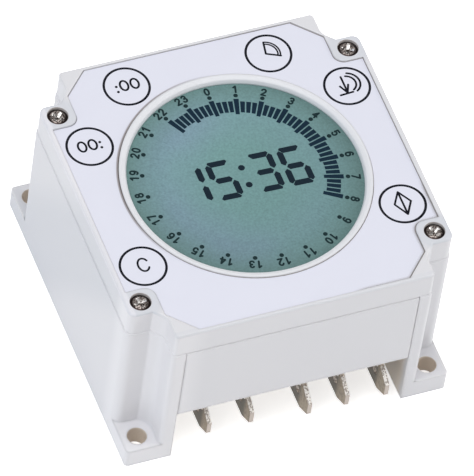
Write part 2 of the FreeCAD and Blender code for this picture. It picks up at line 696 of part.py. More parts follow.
# ---- the whole module
def build():
    parts = {
        "base_housing": base_housing(),
        "front_panel": front_panel(),
        "front_cover": front_cover(),
        "front_foil": front_foil(),
        "lcd_front_polariser": lcd_layer(GLASS_TOP, LCD_TOP),
        "lcd_front_glass": lcd_layer(GLASS_JOINT, GLASS_TOP),
        "lcd_rear_glass": lcd_layer(GLASS_LOW, GLASS_JOINT),
        "lcd_reflector": lcd_layer(LCD_LOW, GLASS_LOW),
        "lcd_holder": lcd_holder(),
        "contact_strip_right": contact_strip(1),
        "contact_strip_left": contact_strip(-1),
        "main_board": main_board(),
        "microcontroller": microcontroller(),
        "quartz_crystal": quartz_crystal(),
        "backup_cell": backup_cell(),
        "board_link": board_link(),
        "power_board": power_board(),
        "power_relay": cased(RELAY_PLACE, RELAY_SIZE, RELAY_BEVEL, "x"),
        "film_capacitor": cased(FILM_CAP_PLACE, FILM_CAP_SIZE, FILM_CAP_BEVEL, "y"),
        "varistor": varistor(),
    }
    for i, place in enumerate((FRONT_CAN, REAR_CAN)):
        parts[f"radial_capacitor_{i + 1}"] = radial_capacitor(place, CAN_HEIGHTS[i], CAN_RADII[i])
    for i, (x, reach) in enumerate(TABS, 1):
        parts[f"terminal_tab_{i}"] = terminal_tab(x, reach)
    for name, (sx, sy) in SCREWS.items():
        parts[f"cover_screw_{name}"] = cover_screw(sx, sy)
    for name, place in KEYS.items():
        parts[f"key_pad_{name}"] = key_pad(place)
        parts[f"key_plunger_{name}"] = key_plunger(place)
        parts[f"switch_stem_{name}"] = switch_stem(place)
        parts[f"switch_body_{name}"] = switch_body(place)
    return parts


os.makedirs("parts", exist_ok=True)
for name, shape in build().items():
    if len(shape.Solids) != 1:
        print(name, "has", len(shape.Solids), "solids")
    shape.exportStep(f"parts/{name}.step")
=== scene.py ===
# %% [markdown]
# # A time switch with a round display
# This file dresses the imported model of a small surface-mounted time switch: a white moulded case,
# a printed foil with six keys, a round liquid crystal display and five blade terminals. The packed
# model is the fixed frame. Everything added here is either a finish for one of its pieces or a new
# surface that rides on one of its bodies, and every size below is in millimetres unless it says so.

# %% Load the frame
import bpy
import json
import math
import numpy as np
from mathutils import Matrix, Vector


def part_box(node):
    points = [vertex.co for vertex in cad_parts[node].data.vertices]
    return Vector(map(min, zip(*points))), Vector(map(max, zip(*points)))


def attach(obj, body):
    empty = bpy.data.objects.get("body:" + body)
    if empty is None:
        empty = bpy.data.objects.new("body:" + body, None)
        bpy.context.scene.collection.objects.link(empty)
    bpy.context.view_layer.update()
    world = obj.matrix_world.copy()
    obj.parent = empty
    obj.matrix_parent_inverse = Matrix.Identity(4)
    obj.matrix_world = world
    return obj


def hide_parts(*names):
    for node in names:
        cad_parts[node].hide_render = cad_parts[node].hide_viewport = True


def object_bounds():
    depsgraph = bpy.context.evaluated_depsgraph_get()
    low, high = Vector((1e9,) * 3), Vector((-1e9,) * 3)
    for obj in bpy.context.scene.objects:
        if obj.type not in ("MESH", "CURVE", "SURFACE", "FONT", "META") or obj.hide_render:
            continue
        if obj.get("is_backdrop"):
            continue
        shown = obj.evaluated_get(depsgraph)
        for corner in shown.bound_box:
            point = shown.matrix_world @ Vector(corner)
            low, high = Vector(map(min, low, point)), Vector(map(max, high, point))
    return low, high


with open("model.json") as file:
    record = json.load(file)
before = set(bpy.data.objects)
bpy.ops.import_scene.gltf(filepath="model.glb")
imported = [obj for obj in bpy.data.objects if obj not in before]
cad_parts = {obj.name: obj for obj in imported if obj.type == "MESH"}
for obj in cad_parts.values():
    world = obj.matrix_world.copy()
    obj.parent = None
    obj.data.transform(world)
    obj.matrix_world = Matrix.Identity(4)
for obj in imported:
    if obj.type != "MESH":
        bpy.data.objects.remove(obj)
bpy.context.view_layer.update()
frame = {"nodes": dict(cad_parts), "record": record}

# %% [markdown]
# Heights and middles are read from the frame, so that the print always lies on the face it belongs
# to. The foil and the display are the two levels that carry print.

# %% Places read from the frame
MM = 0.001


def top_of(node):
    """Height of a node's upper face, in millimetres."""
    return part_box(node)[1].z / MM


def middle_of(node):
    """Middle of a node's box in plan, in millimetres."""
    low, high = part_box(node)
    return (low.x + high.x) / 2 / MM, (low.y + high.y) / 2 / MM, 0.0


foil_top = top_of("front_foil")
display_top = top_of("lcd_front_polariser")
print("foil at", round(foil_top, 3), "display at", round(display_top, 3))

# %% [markdown]
# ## Colours
# Hex colours are written for a screen, in sRGB. A renderer adds light in linear numbers, so one
# function turns each colour once, where it enters the scene.

# %% Hex to linear
def linear(hex_colour):
    """Linear RGBA of an sRGB hex colour: each channel c, from 0 to 1, becomes c / 12.92 while it is
    at most 0.04045, and above that ((c + 0.055) / 1.055) to the power 2.4."""
    channels = [int(hex_colour[i:i + 2], 16) / 255 for i in (1, 3, 5)]
    return tuple(c / 12.92 if c <= 0.04045 else ((c + 0.055) / 1.055) ** 2.4 for c in channels) + (1.0,)


print("mid grey becomes", round(linear("#808080")[0], 3))

# %% [markdown]
# ## Materials as small node trees
# Each finish is a tree of nodes. One function adds a node, fills in its settings and joins its
# inputs, so a tree reads from top to bottom like a recipe. A number names a socket by its place,
# which the Mix node needs because its sockets share their names.

# %% Add a node
def add(tree, kind, settings=None, output=None):
    """Adds a shader node. A setting's key is a socket's name or number, or else an attribute. A value
    that is another node's output is joined to it. Returns the node, or the output that is named."""
    node = tree.nodes.new("ShaderNode" + kind)
    for key, value in (settings or {}).items():
        if not isinstance(key, int) and key not in node.inputs:
            setattr(node, key, value)
        elif isinstance(value, bpy.types.NodeSocket):
            tree.links.new(value, node.inputs[key])
        else:
            node.inputs[key].default_value = value
    return node if output is None else node.outputs[output]


def finish(name, colour, **constants):
    """A material with one principled shader. Constants are set on the shader's own sockets, with an
    underscore for each space. Returns the material, its tree, its shader and object coordinates."""
    material = bpy.data.materials.new(name)
    material.use_nodes = True
    tree = material.node_tree
    tree.nodes.clear()
    shader = add(tree, "BsdfPrincipled", {"Base Color": linear(colour)})
    for key, value in constants.items():
        shader.inputs[key.replace("_", " ")].default_value = value
    add(tree, "OutputMaterial", {"Surface": shader.outputs["BSDF"]})
    material.diffuse_color = linear(colour)
    return material, tree, shader, add(tree, "TexCoord", output="Object")


def join(tree, shader, **outputs):
    """Joins what varies over the surface to the shader's sockets, named in the same way."""
    for key, output in outputs.items():
        tree.links.new(output, shader.inputs[key.replace("_", " ")])


print("node helpers ready")

# %% [markdown]
# ## Masks and coats
# A finish is built up as a painter would do it: a ground tone, and coats over it that show only in
# some places. Where a coat shows is said by a mask, a value between nought and one. Most masks here
# are worked out from a point's place on the object, so they stay where they are from every side.

# %% Masks by place
UP, LEFT, FRONT, REAR = (0, 0, 1), (-1, 0, 0), (0, -1, 0), (0, 1, 0)


def place_mask(tree, place, pick, low_mm, high_mm, low=0.0, high=1.0):
    """A value that runs smoothly from low to high while the dot product of the place with the vector
    pick goes from low_mm to high_mm."""
    along = add(tree, "VectorMath", {"operation": "DOT_PRODUCT", 0: place, 1: pick}, "Value")
    return add(tree, "MapRange", {"interpolation_type": "SMOOTHSTEP", "From Min": low_mm * MM,
                                  "From Max": high_mm * MM, "To Min": low, "To Max": high,
                                  "Value": along}, "Result")


def round_mask(tree, place, middle, inner_mm, outer_mm, across=(1, 1, 0), mirrored=False):
    """One within inner_mm of a line through the middle, nought beyond outer_mm. The line stands
    upright, or square to the two directions that are 1 in across. Mirrored, it does the same round
    the four lines at plus and minus the middle's x and y."""
    if mirrored:
        place = add(tree, "VectorMath", {"operation": "ABSOLUTE", 0: place}, "Vector")
    centre = tuple(v * MM for v in middle)
    centred = add(tree, "VectorMath", {"operation": "SUBTRACT", 0: place, 1: centre}, "Vector")
    flat = add(tree, "VectorMath", {"operation": "MULTIPLY", 0: centred, 1: across}, "Vector")
    radius = add(tree, "VectorMath", {"operation": "LENGTH", 0: flat}, "Value")
    return add(tree, "MapRange", {"From Min": inner_mm * MM, "From Max": outer_mm * MM,
                                  "To Min": 1.0, "To Max": 0.0, "Value": radius}, "Result")


print("masks: along a direction and round a line")

# %% Coats of colour
def multiplied(tree, *values):
    """The product of some values. Of masks, it is one only where all of them are one."""
    result = values[0]
    for value in values[1:]:
        result = add(tree, "Math", {"operation": "MULTIPLY", 0: result, 1: value}, "Value")
    return result


def painted(tree, ground, *coats):
    """A ground colour with coats over it, the last on top. A coat is a colour and one or more masks,
    and it covers what lies under it by the product of its masks. A colour is a hex value or another
    node's output."""
    for colour, *masks in coats:
        under, over = (linear(c) if isinstance(c, str) else c for c in (ground, colour))
        ground = add(tree, "Mix", {"data_type": "RGBA", 0: multiplied(tree, *masks), 6: under, 7: over}, 2)
    return ground


print("coats ready")

# %% [markdown]
# ## Moulded ABS
# The case is injection-moulded ABS, an opaque styrene plastic. The mould is spark-eroded, so the
# skin has a very fine even grain of about a tenth of a millimetre, which only dulls the gloss. The
# grain is drawn at 0.25 mm, the finest that still shows. A slow change of tone over a few
# centimetres stands for the flow of the melt. No edge of a moulding is quite sharp, so a bevel inside
# the shader rounds the light over it. Where the bevel turns the normal and the sky is open, a painted
# highlight makes the tone lighter. A slanting band of painted shade lies across the left wall.

# %% Moulded ABS
GRAIN, CLOUDS = 0.25, 30.0                 # mm
# The first tone is painted shade for a band on the left wall, the second a painted highlight on outer
# edges, the third a painted light on the front left corner.
PAINTED_SHADE_BAND, PAINTED_EDGE_HIGHLIGHT, PAINTED_LIGHT_CORNER_TONE = "#C4C7CE", "#F7F6F8", "#E7E6E9"
SHADE_BAND_SLOPE = (0, 0.735, 0.677)


def moulded(name, colour, shade, roughness, edge_radius):
    """Moulded plastic: two close tones in slow clouds, a slanting band of painted shade on the left
    wall, a fine grain, and rounded outer edges with a painted highlight. edge_radius is a function of
    the tree and the place. Also returns the tone, and how much of the sky each point sees within 0.6 mm."""
    material, tree, shader, place = finish(name, colour, Roughness=roughness, IOR=1.54)
    clouds = add(tree, "TexNoise", {"Scale": 1 / (CLOUDS * MM), "Detail": 2.0, "Vector": place}, "Fac")
    grain = add(tree, "TexNoise", {"Scale": 1 / (GRAIN * MM), "Detail": 1.0, "Vector": place}, "Fac")
    gloss = add(tree, "MapRange", {"To Min": roughness - 0.05, "To Max": roughness + 0.05,
                                   "Value": grain}, "Result")
    edge = add(tree, "Bevel", {"samples": 8, "Radius": edge_radius(tree, place)}, "Normal")
    relief = add(tree, "Bump", {"Strength": 0.06, "Distance": 0.02 * MM, "Height": grain,
                                "Normal": edge}, "Normal")
    sky = add(tree, "AmbientOcclusion", {"samples": 8, "Distance": 0.6 * MM}, "AO")
    unbent = add(tree, "NewGeometry", output="True Normal")
    bent = add(tree, "VectorMath", {"operation": "DOT_PRODUCT", 0: edge, 1: unbent}, "Value")
    highlighted_edge = add(tree, "MapRange", {"From Min": 0.99, "From Max": 0.8, "Value": bent}, "Result")
    open_sky = add(tree, "MapRange", {"From Min": 0.8, "From Max": 0.95, "Value": sky}, "Result")
    # Coats: a slanting band of painted shade on the left wall, then a painted highlight on the outer edges.
    tone = painted(tree, colour, (shade, clouds),
                   (PAINTED_SHADE_BAND, place_mask(tree, place, SHADE_BAND_SLOPE, 4, 12),
                    place_mask(tree, place, SHADE_BAND_SLOPE, 30, 21),
                    place_mask(tree, place, LEFT, 28, 29, 0.0, 0.5)),
                   (PAINTED_EDGE_HIGHLIGHT, highlighted_edge, open_sky))
    join(tree, shader, Roughness=gloss, Normal=relief)
    return material, tree, shader, place, tone, sky


print("moulded ABS ready, grain", GRAIN, "mm")

# %% [markdown]
# The base is the same all over, except where light can only reach the plastic after several bounces
# between its own walls. Each bounce takes a little blue out of it, so the insides of the fixing holes
# and of the wiring bay look warm, almost beige. Masks by place pick them out for a coat of painted
# bounce light, warm, and in the bay lighter too. One more picks the front left corner, where a
# painted light makes the moulding a little paler.

# %% Housing
HOLE_INSET, HOLE_RADIUS = 3.0, 1.78        # a fixing hole's place, from the two sides, and its wall
BAY_HALF_WIDTH = 21.74


def housing_edges(tree, place):
    """Radius of the base's edges: 0.8 mm on its upright corners, 0.3 mm on the ledge under the cover."""
    return place_mask(tree, place, UP, 27.6, 28.4, 0.8 * MM, 0.3 * MM)


def front_left_corner(tree, place):
    """One in the front left corner, with its notch, post and foot, and nought elsewhere."""
    return multiplied(tree, place_mask(tree, place, LEFT, 17, 22),
                      place_mask(tree, place, FRONT, 17, 21))


def housing_finish():
    """Moulded ABS with a warm painted bounce light inside the four fixing holes and, lighter, inside the
    wiring bay, and a painted light that makes the front left corner a little paler."""
    material, tree, shader, place, tone, _ = moulded("abs_moulded_housing", "#E0DFE2", "#DBDBDF", 0.46,
                                                     housing_edges)
    low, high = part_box("base_housing")
    hole = (high.x / MM - HOLE_INSET, high.y / MM - HOLE_INSET, 0)
    front = low.y / MM
    sides = add(tree, "VectorMath", {"operation": "ABSOLUTE", 0: place}, "Vector")
    # Coats of painted light on the front left corner, and of warm painted bounce light in the fixing holes
    # and, lighter, in the wiring bay.
    tone = painted(tree, tone,
                   (PAINTED_LIGHT_CORNER_TONE, front_left_corner(tree, place)),
                   ("#E0D3C4", round_mask(tree, place, hole, HOLE_RADIUS - 0.01, HOLE_RADIUS + 0.01,
                                          mirrored=True)),
                   ("#F0E6DA", place_mask(tree, place, REAR, front + 0.05, front + 2.5),
                    place_mask(tree, place, REAR, front + 10.0, front + 9.8),
                    place_mask(tree, sides, (1, 0, 0), BAY_HALF_WIDTH + 0.02, BAY_HALF_WIDTH - 0.02),
                    place_mask(tree, place, UP, 14.0, 12.0)))
    join(tree, shader, Base_Color=tone)
    return material


housing_abs = housing_finish()
print(housing_abs.name)

# %% [markdown]
# The cover is the same plastic. Its lip round the display is polished and a little whiter. Its left
# rim gets a painted highlight, the lugs and the front rim are a little darker, and its sides at the
# front left corner get the same painted light as the base. Where the foil meets the moulding, painted
# shade darkens the plastic where it sees little of the sky, most along the lip, above all at its
# upper left, and on the right of the foil. The counterbores get painted shade too, a warm grey.

# %% Cover with its lip
WINDOW, LIP_WALL, LIP_EDGE = 20.9, 21.5, 22.3      # radii about the display's middle
COUNTERBORE = 1.9


def cover_edges(tree, place):
    """Radius of the cover's edges: 0.3 mm below, 0.5 mm at the rim, a quarter of it round the screws."""
    rim = place_mask(tree, place, UP, 33.4, 34.3, 0.3 * MM, 0.5 * MM)
    near_screw = round_mask(tree, place, screw_middle, 2.3, 2.7, mirrored=True)
    sharp = add(tree, "MapRange", {"To Min": 1.0, "To Max": 0.25, "Value": near_screw}, "Result")
    return multiplied(tree, rim, sharp)


def cover_finish():
    """Moulded ABS, whiter on the lip, with a painted highlight on the left rim, darker on the lugs and
    the front rim, painted light on the sides at the front left corner, and painted shade in grey brown
    in narrow gaps and in warm grey in the counterbores."""
    material, tree, shader, place, tone, sky = moulded("abs_moulded_cover", "#E0DFE2", "#DCDCE0", 0.42,
                                                       cover_edges)
    under_top = place_mask(tree, place, UP, 34.9, 34.6)
    on_top = place_mask(tree, place, UP, 34.7, 35.0)
    highlighted_left_rim = place_mask(tree, place, LEFT, 28.8, 29.2, 0.0, 0.5)
    front_rim = place_mask(tree, place, FRONT, 28.9, 29.2, 0.0, 0.4)
    lug = round_mask(tree, place, screw_middle, 3.2, 4.4, mirrored=True)
    lugs_and_front_rim = add(tree, "Math", {"operation": "MAXIMUM", 0: lug, 1: front_rim}, "Value")
    hidden = add(tree, "MapRange", {"From Min": 0.35, "From Max": 0.75, "To Min": 1.0, "To Max": 0.0,
                                    "Value": sky}, "Result")
    to_the_right = place_mask(tree, place, (1, -0.4, 0), -30, 25, 0.2, 1.0)
    about_lip = round_mask(tree, place, display_middle, 23.2, 23.6)
    shade_reach = add(tree, "Math", {"operation": "MAXIMUM", 0: to_the_right, 1: about_lip}, "Value")
    inner_wall = round_mask(tree, place, display_middle, LIP_WALL - 0.2, LIP_WALL + 0.2)
    off_wall = add(tree, "MapRange", {"To Min": 1.0, "To Max": 0.15, "Value": inner_wall}, "Result")
    # Painted shade for the narrow gaps, darker towards the upper left.
    gap_shade = painted(tree, "#B5ADA9", ("#6B605B", place_mask(tree, place, (-0.6, 0.8, 0), 9, 18)))
    # Coats: the lip's own tone, painted light at the front left corner, darker lugs and front rim, a
    # painted highlight on the left rim, painted shade in the gaps, then painted shade in the counterbores.
    tone = painted(tree, tone,
                   ("#E3E4E8", round_mask(tree, place, display_middle, LIP_EDGE - 0.05, LIP_EDGE + 0.05)),
                   (PAINTED_LIGHT_CORNER_TONE, front_left_corner(tree, place), under_top),
                   ("#D5D7DD", lugs_and_front_rim, on_top),
                   ("#F1EFF5", highlighted_left_rim, on_top),
                   (gap_shade, hidden, shade_reach, off_wall),
                   ("#DDD7D4", round_mask(tree, place, screw_middle, COUNTERBORE + 0.01,
                                          COUNTERBORE + 0.04, mirrored=True)))
    join(tree, shader, Base_Color=tone)
    return material


screw_middle = middle_of("cover_screw_rear_right")
display_middle = middle_of("lcd_front_polariser")
cover_abs = cover_finish()
print(cover_abs.name, "lip round", [round(v, 2) for v in display_middle])

# %% [markdown]
# ## The front foil
# The foil is a sheet of polyester, white ink behind a clear satin face. It is flatter and bluer than
# the moulding, and its sheen is even. A faint unevenness a few millimetres wide comes from the
# adhesive under it.

# %% Polyester foil
def foil_finish():
    """Satin polyester: an almost even bluish white over a very shallow wave. Its edge carries painted
    shade at the front right corner, next to the lug, and left of the lip."""
    material, tree, shader, place = finish("polyester_foil_printed", "#E2E4EF", Roughness=0.36, IOR=1.6)
    wave = add(tree, "TexNoise", {"Scale": 1 / (6 * MM), "Detail": 3.0, "Vector": place}, "Fac")
    skin = add(tree, "TexNoise", {"Scale": 1 / (0.3 * MM), "Vector": place}, "Fac")
    sky = add(tree, "AmbientOcclusion", {"samples": 8, "Distance": 0.7 * MM}, "AO")
    by_wall = add(tree, "MapRange", {"From Min": 0.97, "From Max": 0.8, "Value": sky}, "Result")
    # Coats: the wave, then painted shade by the wall at the front right corner and left of the lip.
    tone = painted(tree, "#E4E5F1", ("#E1E2EE", wave),
                   ("#A19E9F", by_wall, place_mask(tree, place, (1, -1, 0), 38, 41)),
                   ("#9A9394", round_mask(tree, place, display_middle, LIP_EDGE + 0.3, LIP_EDGE + 0.5),
                    place_mask(tree, place, (-0.87, 0.5, 0), 8, 21)))
    gloss = add(tree, "MapRange", {"To Min": 0.32, "To Max": 0.42, "Value": skin}, "Result")
    relief = add(tree, "Bump", {"Strength": 0.05, "Distance": 0.01 * MM, "Height": wave}, "Normal")
    join(tree, shader, Base_Color=tone, Roughness=gloss, Normal=relief)
    return material


front_foil = foil_finish()
print(front_foil.name)

# %% [markdown]
# ## The display face
# A reflective liquid crystal display looks grey green where nothing is switched on: light passes the
# polariser twice and the reflector is slightly brushed. It darkens towards the rim, where the lip
# keeps light from the reflector. The colour follows the distance from the middle: grey green in the
# middle, bluish about 14 mm out, mostly on the left, and darker at the rim, with a fine mottle of
# 0.4 mm on top. A painted light also makes the tone rise a little towards its twelve o'clock side.

# %% Display face
def display_finish(name, share=1.0):
    """Polariser over a reflector. share scales the colour, for segments that are switched off."""
    material, tree, shader, place = finish(name, "#7E9E9B", Roughness=0.38, IOR=1.45)
    patches = add(tree, "TexNoise", {"Scale": 1 / (14 * MM), "Detail": 1.0, "Vector": place}, "Fac")
    mottle = add(tree, "TexNoise", {"Scale": 1 / (0.4 * MM), "Detail": 2.0, "Vector": place}, "Fac")
    cloud = add(tree, "MapRange", {"From Min": 0.35, "From Max": 0.65, "To Min": 0.5, "Value": patches},
                "Result")
    middle = round_mask(tree, place, display_middle, 7, 14)
    outside = add(tree, "MapRange", {"To Min": 1.0, "To Max": 0.15, "Value": middle}, "Result")
    left = place_mask(tree, place, LEFT, -14, 8, 0.3, 1.0)
    body = painted(tree, "#6F9795", ("#7893A2", outside, left, cloud))
    tone = painted(tree, "#60807E", (body, round_mask(tree, place, display_middle, 15, WINDOW)))
    speck = add(tree, "MapRange", {"To Min": 0.72 * share, "To Max": 1.28 * share, "Value": mottle},
                "Result")
    # Painted light: the tone rises a little towards the twelve o'clock side.
    light = place_mask(tree, place, (-0.5, 0.87, 0), -12, 22, 0.92, 1.09)
    lit = add(tree, "VectorMath", {"operation": "SCALE", 0: tone, "Scale": multiplied(tree, light, speck)},
              "Vector")
    join(tree, shader, Base_Color=lit)
    return material


display_face = display_finish("polariser_over_reflector")
segment_off = display_finish("liquid_crystal_switched_off", 0.965)
print(display_face.name, segment_off.name)

# %% [markdown]
# ## Inks
# Screen-printed ink is matt and nearly black. The switched-on segments of the display aren't ink but
# crystal that blocks the light, and they look dark blue. All of them get a little mottle, because a
# printed line or a segment is never perfectly even.

# %% Inks and segments
def dark_film(name, colour, lighter, roughness):
    """A dark printed film: two close tones in a mottle of half a millimetre."""
    material, tree, shader, place = finish(name, colour, Roughness=roughness, Specular_IOR_Level=0.12)
    mottle = add(tree, "TexNoise", {"Scale": 1 / (0.5 * MM), "Detail": 2.0, "Vector": place}, "Fac")
    join(tree, shader, Base_Color=painted(tree, colour, (lighter, mottle)))
    return material


key_ink = dark_film("screen_print_key_ink", "#0A0B14", "#111320", 0.5)
dial_ink = dark_film("screen_print_dial_ink", "#13272A", "#1C3336", 0.5)
digit_on = dark_film("liquid_crystal_digits", "#101E29", "#172935", 0.4)
bar_on = dark_film("liquid_crystal_bars", "#0B2230", "#132D3F", 0.4)
print("inks:", key_ink.name, dial_ink.name, digit_on.name, bar_on.name)

# %% [markdown]
# ## Metals
# The blades are stamped from brass and dipped in tin, which stays dull grey with a warm cast. Deep in
# the bay they get painted shade. The cut faces, which don't look sideways, are paler. The cut edges
# are rough and carry painted glints where they look upwards, and a painted highlight lies round the
# locking hole. The masks are the surface's own normal and its place on the blade, so all of this
# stays on the metal from any side.

# %% Tinned brass
PUNCH_FROM_TIP = 4.8                       # mm from a blade's tip to the middle of its locking hole


def tinned_finish():
    """Dull tin with a rolled grain, pale cut faces, painted glints on its upper edges, a painted highlight
    round the locking hole and painted shade deep in the bay.
    """
    material, tree, shader, place = finish("tinned_brass_stamped", "#8F867A", Metallic=0.75, Roughness=0.42)
    low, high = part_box("terminal_tab_3")
    tip = low.y / MM
    fine, long = 1 / (0.15 * MM), 1 / (2.5 * MM)
    stretch = add(tree, "Mapping", {"Scale": (fine, long, fine), "Vector": place}, "Vector")
    rolled = add(tree, "TexNoise", {"Scale": 1.0, "Detail": 3.0, "Vector": stretch}, "Fac")
    spots = add(tree, "TexNoise", {"Scale": 1 / (0.6 * MM), "Detail": 2.0, "Vector": place}, "Fac")
    rough = add(tree, "TexNoise", {"Scale": 1 / (0.35 * MM), "Detail": 3.0, "Vector": place}, "Fac")
    dull = add(tree, "MapRange", {"From Min": 0.5, "From Max": 0.62, "To Max": 0.5, "Value": spots},
               "Result")
    normal = add(tree, "NewGeometry", output="Normal")
    sideways = add(tree, "VectorMath", {"operation": "DOT_PRODUCT", 0: normal, 1: (1, 0, 0)}, "Value")
    sideways = add(tree, "Math", {"operation": "ABSOLUTE", 0: sideways}, "Value")
    cut = add(tree, "MapRange", {"From Min": 0.5, "From Max": 0.2, "Value": sideways}, "Result")
    spark = add(tree, "MapRange", {"From Min": 0.42, "From Max": 0.56, "Value": rough}, "Result")
    upwards = add(tree, "VectorMath", {"operation": "DOT_PRODUCT", 0: normal, 1: (0, 0, 1.3)}, "Value")
    spark = add(tree, "Math", {"operation": "MULTIPLY", "use_clamp": True, 0: spark, 1: upwards}, "Value")
    hole = (0, tip + PUNCH_FROM_TIP, (low.z + high.z) / 2 / MM)
    hole_highlight = round_mask(tree, place, hole, 0.9, 1.05, across=(0, 1, 1))
    painted_glint = add(tree, "Math", {"operation": "MAXIMUM", 0: spark, 1: hole_highlight}, "Value")
    # Coats: rolled grain, dull spots, painted shade deep in the bay, pale cut faces, then painted glints
    # and a painted highlight round the locking hole.
    tone = painted(tree, "#7B6F5E", ("#B0A28E", rolled), ("#5A534B", dull),
                   ("#554F44", place_mask(tree, place, REAR, tip + 2.7, tip + 4.4)),
                   ("#B0A69E", cut), ("#FFFBF6", painted_glint))
    gloss = add(tree, "MapRange", {"To Min": 0.36, "To Max": 0.52, "Value": rolled}, "Result")
    relief = add(tree, "Bump", {"Strength": 0.25, "Distance": 0.05 * MM, "Height": rough}, "Normal")
    join(tree, shader, Base_Color=tone, Roughness=gloss, Normal=relief)
    return material


tinned_brass = tinned_finish()
print(tinned_brass.name)

# %% [markdown]
# The inner parts are finished too, because they show through the wiring bay: solder resist over glass
# fibre, black epoxy, shrink sleeve, drawn cans and so on. They share one recipe, a base tone with a
# fine mottle and a gloss that varies with it.

# %% Inner parts
def plain_finish(name, colour, other, mottle_mm, roughness, metallic=0.0):
    """Two close tones in a mottle of a given size, with a gloss that follows it."""
    material, tree, shader, place = finish(name, colour, Roughness=roughness, Metallic=metallic)
    mottle = add(tree, "TexNoise", {"Scale": 1 / (mottle_mm * MM), "Detail": 3.0, "Vector": place}, "Fac")
    gloss = add(tree, "MapRange", {"To Min": roughness - 0.06, "To Max": roughness + 0.06,
                                   "Value": mottle}, "Result")
    relief = add(tree, "Bump", {"Strength": 0.08, "Distance": 0.02 * MM, "Height": mottle}, "Normal")
    join(tree, shader, Base_Color=painted(tree, colour, (other, mottle)), Roughness=gloss, Normal=relief)
    return material


PLAIN_FINISHES = {       # slot: name, two tones, mottle in mm, roughness and, for a metal, 1.0
    "display_glass": ("float_glass_edge", "#B9C9C4", "#C2D1CC", 3.0, 0.12),
    "reflector": ("brushed_reflector_film", "#A9B5B0", "#B3BFBA", 0.3, 0.35),
    "holder_plastic": ("moulded_white_frame", "#E2E1DC", "#DAD9D4", 0.5, 0.5),
    "contact_rubber": ("layered_contact_rubber", "#2C2C2E", "#55555A", 0.3, 0.7),
    "circuit_board": ("solder_resist_on_glass_epoxy", "#1D5A35", "#226A3E", 0.8, 0.35),
    "chip_black": ("moulded_black_epoxy", "#151515", "#1E1E1E", 0.2, 0.6),
    "crystal_can": ("drawn_nickel_silver_can", "#B9B8B4", "#C7C6C2", 0.6, 0.28, 1.0),
    "cell_steel": ("nickel_plated_cell", "#BDBBB6", "#CBC9C4", 0.8, 0.3, 1.0),
    "pin_strip": ("glass_filled_nylon_strip", "#141414", "#202020", 0.3, 0.55),
    "relay_case": ("moulded_blue_polyester", "#1F3F86", "#254992", 0.6, 0.4),
    "film_cap_case": ("potted_polypropylene_box", "#C9C19A", "#D2CAA5", 0.6, 0.42),
    "varistor_coat": ("dipped_blue_epoxy", "#234C9C", "#2B57AA", 1.2, 0.3),
    "capacitor_sleeve": ("shrink_sleeve", "#191A24", "#232430", 0.8, 0.35),
    "switch_black": ("moulded_black_nylon", "#161616", "#222222", 0.3, 0.55),
    "plunger_white": ("white_acetal", "#E6E6E4", "#DEDEDC", 0.5, 0.4),
    "screw_steel": ("nickel_plated_steel", "#8B8480", "#9A938F", 0.5, 0.3, 1.0),
}

slot_finishes = {slot: plain_finish(*row) for slot, row in PLAIN_FINISHES.items()}
slot_finishes.update(housing_abs=housing_abs, cover_abs=cover_abs, front_foil=front_foil,
                     display_face=display_face, tinned_brass=tinned_brass)
print("finishes:", len(slot_finishes))

# %% [markdown]
# ## Nickel-plated screws
# The four screws are nickel-plated steel. The flank of a pan head meets dark surroundings and the
# deep counterbore, so it is painted almost black, a painted reflection. The top of the head is dull
# and scratched. The driver's recess carries bright painted glints and painted shade, darkest at its
# very middle. Two masks pick them out: the distance from the screw's own axis, and how deep a point
# lies under the top of the head.

# %% Screw finish
def screw_finish(name, middle, top):
    """Plated steel: a flank painted dark as a painted reflection, a mottled top, and a recess with painted
    glints and painted shade.
    """
    material, tree, shader, place = finish(name, "#6B625E", Metallic=1.0, Roughness=0.3)
    scratch = add(tree, "TexNoise", {"Scale": 1 / (0.3 * MM), "Detail": 3.0, "Vector": place}, "Fac")
    dents_and_glints = add(tree, "TexNoise", {"Scale": 1 / (0.35 * MM), "Detail": 2.0, "Vector": place}, "Fac")
    worn = add(tree, "MapRange", {"From Min": 0.4, "From Max": 0.58, "Value": scratch}, "Result")
    painted_glint = add(tree, "MapRange", {"From Min": 0.39, "From Max": 0.49, "Value": dents_and_glints}, "Result")
    # The recess: painted shade with painted glints, darkest in the middle.
    in_recess = painted(tree, "#4A3E38", ("#FFFDFB", painted_glint),
                        ("#4A413C", round_mask(tree, place, middle, 0.2, 0.5)))
    head = painted(tree, "#2E2725", ("#A89E99", worn),
                   (in_recess, place_mask(tree, place, (0, 0, -1), 0.12 - top, 0.25 - top),
                    round_mask(tree, place, middle, 1.2, 1.25)))
    # The flank is painted almost black, a painted reflection of the dark surroundings.
    tone = painted(tree, "#3A3130", (head, round_mask(tree, place, middle, 1.28, 1.45)))
    relief = add(tree, "Bump", {"Strength": 0.4, "Distance": 0.05 * MM, "Height": dents_and_glints}, "Normal")
    join(tree, shader, Base_Color=tone, Normal=relief)
    return material


print("screw finish ready")

# %% [markdown]
# ## Dress the frame
# The record names a finish slot for each node. The node keeps its mesh, and its material slots take
# the finish.

# %% Put the finishes on the frame's nodes
for subpart in frame["record"]["subparts"]:
    mesh = frame["nodes"][subpart["node"]].data
    mesh.materials.clear()
    mesh.materials.append(slot_finishes[subpart["material_slot"]])

# %% [markdown]
# ## Meshes from arrays
# A new piece is a set of points and a list of faces. The points are worked out as whole arrays in
# millimetres and turned to metres here. Every piece says which body it rides on and which finish it
# takes.

